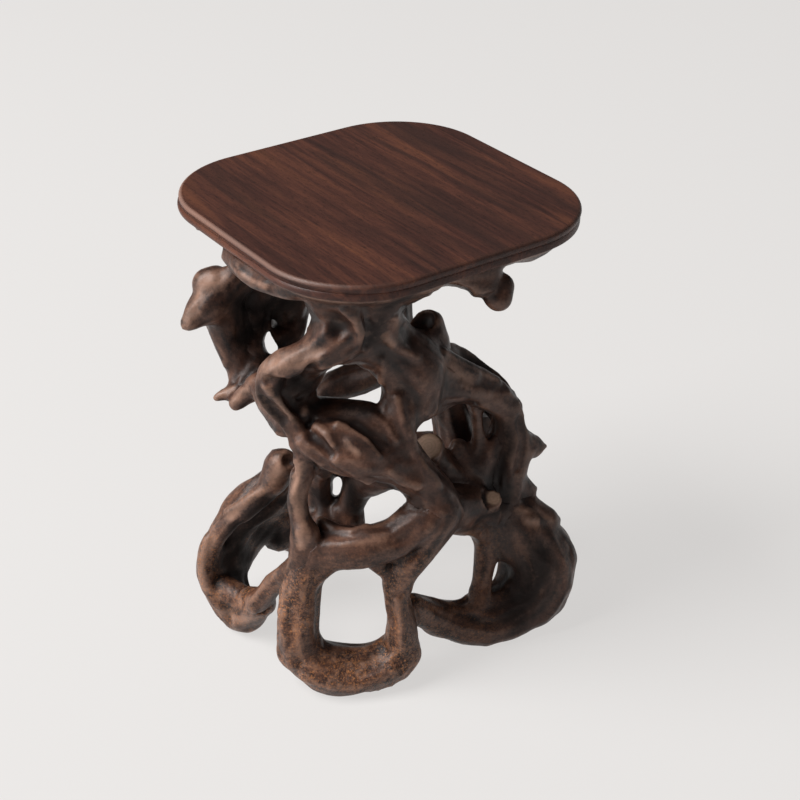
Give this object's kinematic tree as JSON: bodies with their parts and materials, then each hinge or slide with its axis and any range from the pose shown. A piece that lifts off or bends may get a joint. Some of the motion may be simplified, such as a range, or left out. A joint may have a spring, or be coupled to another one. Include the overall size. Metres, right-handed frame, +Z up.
{
  "type": "root-carved hardwood display stand",
  "caption": "Dark hardwood display stand: a square board with rounded corners on a pierced base of gnarled, carved root limbs with open hoop feet, for holding a stone, vase or ornament.",
  "frame": {"origin": "on the floor under the middle of the stand's box", "axes": "+Z up from the floor to the board; +X to the right and +Y to the back, as the picture sees it"},
  "size_m": [0.1034, 0.0982, 0.12],
  "materials": {
    "board_wood": "waxed, satin",
    "dark_wood": "waxed, satin gloss",
    "foot_wood": "waxed, speckled",
    "inner_wood": "waxed, matt in the hollows",
    "cut_wood": "sawn and waxed",
    "peg_wood": "plain"
  },
  "bodies": {
    "root": {"top_board": "board_wood", "crown": "dark_wood", "front_root": "dark_wood", "right_root": "dark_wood", "left_root": "dark_wood", "back_curtain": "inner_wood", "back_root": "inner_wood", "hollow_branch": "dark_wood", "left_strut": "dark_wood", "cross_beam": "dark_wood", "front_foot": "foot_wood", "left_foot": "foot_wood", "inner_root": "inner_wood", "right_foot": "foot_wood", "inner_left_root": "inner_wood", "back_left_leg": "inner_wood", "back_right_leg": "inner_wood", "centre_branch": "cut_wood", "side_branch": "cut_wood", "board_pegs": "peg_wood", "root_pegs": "peg_wood"}
  },
  "joints": []
}
